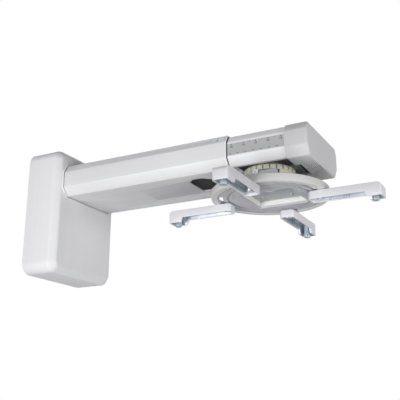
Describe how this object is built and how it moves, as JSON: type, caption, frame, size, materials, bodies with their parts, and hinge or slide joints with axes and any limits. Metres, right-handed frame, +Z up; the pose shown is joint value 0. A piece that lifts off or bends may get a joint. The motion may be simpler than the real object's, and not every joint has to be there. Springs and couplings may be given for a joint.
{
  "type": "projector wall mount",
  "caption": "Telescopic wall arm for a short-throw projector, with a turning and tilting round plate and adjustable legs.",
  "frame": {"origin": "centre of the four wall bolt holes, on the wall plate's back face", "axes": "+X out from the wall along the arm, +Z up, +Y horizontal and away from the side with the scale strip"},
  "size_m": [0.5905, 0.349, 0.216],
  "materials": {
    "galvanised": "galvanised, dull",
    "bracket_steel": "zinc plated",
    "fasteners": "bright zinc",
    "chrome_screws": "polished",
    "cover_white": "fine satin",
    "trim_white": "satin",
    "outer_alu": "pale satin anodised",
    "inner_alu": "pale satin anodised",
    "seal": "matt black",
    "panel_grey": "satin",
    "nylon": "natural",
    "scale": "printed",
    "cap_grey": "fine texture",
    "carriage_steel": "zinc plated",
    "drum_cream": "satin",
    "gimbal_steel": "zinc plated",
    "hub_white": "satin",
    "plate_grey": "satin",
    "rim_cream": "satin",
    "leg_white": "satin",
    "leg_zinc": "blue zinc plated"
  },
  "bodies": {
    "wall_end": {"wall_plate": "galvanised", "arm_bracket": "bracket_steel", "bracket_washers": "fasteners", "bracket_nuts": "fasteners", "wall_cover": "cover_white", "cover_screws": "fasteners", "root_collar": "trim_white", "outer_arm": "outer_alu", "arm_bolts": "fasteners", "outer_bezel": "trim_white", "wiper_seal": "seal", "cable_cover": "panel_grey", "lock_screws": "fasteners"},
    "inner": {"inner_arm": "inner_alu", "glide_pads": "nylon", "scale_strip": "scale", "end_cap": "cap_grey", "carriage": "carriage_steel", "carriage_screws": "fasteners", "swivel_washer": "fasteners", "swivel_nut": "fasteners"},
    "hatch": {"cap_hatch": "cap_grey"},
    "drum": {"index_drum": "drum_cream"},
    "gimbal": {"gimbal_ring": "gimbal_steel", "roll_bolts": "fasteners", "pitch_bolts": "fasteners"},
    "disc": {"pitch_ears": "gimbal_steel", "lid_screws": "fasteners", "hub_frame": "hub_white", "hub_screws": "fasteners", "mounting_plate": "plate_grey", "rim_cover": "rim_cream"},
    "clamp_near": {"clamp_screw_near": "chrome_screws", "clamp_nut_near": "fasteners", "clamp_washer_near": "chrome_screws"},
    "runner_near": {"slot_bush_near": "fasteners"},
    "leg_near": {"leg_cover_near": "leg_white", "leg_core_near": "leg_zinc", "foot_post_near": "leg_zinc"},
    "clamp_wall": {"clamp_screw_wall": "chrome_screws", "clamp_nut_wall": "fasteners", "clamp_washer_wall": "chrome_screws"},
    "runner_wall": {"slot_bush_wall": "fasteners"},
    "leg_wall": {"leg_cover_wall": "leg_white", "leg_core_wall": "leg_zinc", "foot_post_wall": "leg_zinc"},
    "clamp_far": {"clamp_screw_far": "chrome_screws", "clamp_nut_far": "fasteners", "clamp_washer_far": "chrome_screws"},
    "runner_far": {"slot_bush_far": "fasteners"},
    "leg_far": {"leg_cover_far": "leg_white", "leg_core_far": "leg_zinc", "foot_post_far": "leg_zinc"},
    "clamp_front": {"clamp_screw_front": "chrome_screws", "clamp_nut_front": "fasteners", "clamp_washer_front": "chrome_screws"},
    "runner_front": {"slot_bush_front": "fasteners"},
    "leg_front": {"leg_cover_front": "leg_white", "leg_core_front": "leg_zinc", "foot_post_front": "leg_zinc"}
  },
  "joints": [
    {"name": "arm_extension", "type": "slide", "parent": "wall_end", "child": "inner", "axis": [1, 0, 0], "range_m": [0, 0.12]},
    {"name": "cap_hatch", "type": "slide", "parent": "inner", "child": "hatch", "axis": [1, 0, 0], "range_m": [-0.007, 0]},
    {"name": "head_swivel", "type": "hinge", "parent": "inner", "child": "drum", "pos_m": [0.416, 0, 0.03], "axis": [0, 0, 1], "range_deg": [-90, 90]},
    {"name": "head_roll", "type": "hinge", "parent": "drum", "child": "gimbal", "pos_m": [0.416, 0, 0.0145], "axis": [1, 0, 0], "range_deg": [-5, 5]},
    {"name": "head_pitch", "type": "hinge", "parent": "gimbal", "child": "disc", "pos_m": [0.416, 0, 0.0145], "axis": [0, 1, 0], "range_deg": [-5, 5]},
    {"name": "arc_near", "type": "hinge", "parent": "disc", "child": "clamp_near", "pos_m": [0.416, 0, -0.01], "axis": [0, 0, 1], "range_deg": [-28, 28]},
    {"name": "swing_near", "type": "hinge", "parent": "clamp_near", "child": "runner_near", "pos_m": [0.416, -0.076, -0.013], "axis": [0, 0, 1], "range_deg": [-30, 30]},
    {"name": "reach_near", "type": "slide", "parent": "runner_near", "child": "leg_near", "axis": [0, -1, 0], "range_m": [-0.033, 0]},
    {"name": "arc_wall", "type": "hinge", "parent": "disc", "child": "clamp_wall", "pos_m": [0.416, 0, -0.01], "axis": [0, 0, 1], "range_deg": [-28, 28]},
    {"name": "swing_wall", "type": "hinge", "parent": "clamp_wall", "child": "runner_wall", "pos_m": [0.34, 0, -0.013], "axis": [0, 0, 1], "range_deg": [-30, 30]},
    {"name": "reach_wall", "type": "slide", "parent": "runner_wall", "child": "leg_wall", "axis": [-1, 0, 0], "range_m": [-0.033, 0]},
    {"name": "arc_far", "type": "hinge", "parent": "disc", "child": "clamp_far", "pos_m": [0.416, 0, -0.01], "axis": [0, 0, 1], "range_deg": [-28, 28]},
    {"name": "swing_far", "type": "hinge", "parent": "clamp_far", "child": "runner_far", "pos_m": [0.416, 0.076, -0.013], "axis": [0, 0, 1], "range_deg": [-30, 30]},
    {"name": "reach_far", "type": "slide", "parent": "runner_far", "child": "leg_far", "axis": [0, 1, 0], "range_m": [-0.033, 0]},
    {"name": "arc_front", "type": "hinge", "parent": "disc", "child": "clamp_front", "pos_m": [0.416, 0, -0.01], "axis": [0, 0, 1], "range_deg": [-28, 28]},
    {"name": "swing_front", "type": "hinge", "parent": "clamp_front", "child": "runner_front", "pos_m": [0.492, 0, -0.013], "axis": [0, 0, 1], "range_deg": [-30, 30]},
    {"name": "reach_front", "type": "slide", "parent": "runner_front", "child": "leg_front", "axis": [1, 0, 0], "range_m": [-0.033, 0]}
  ]
}
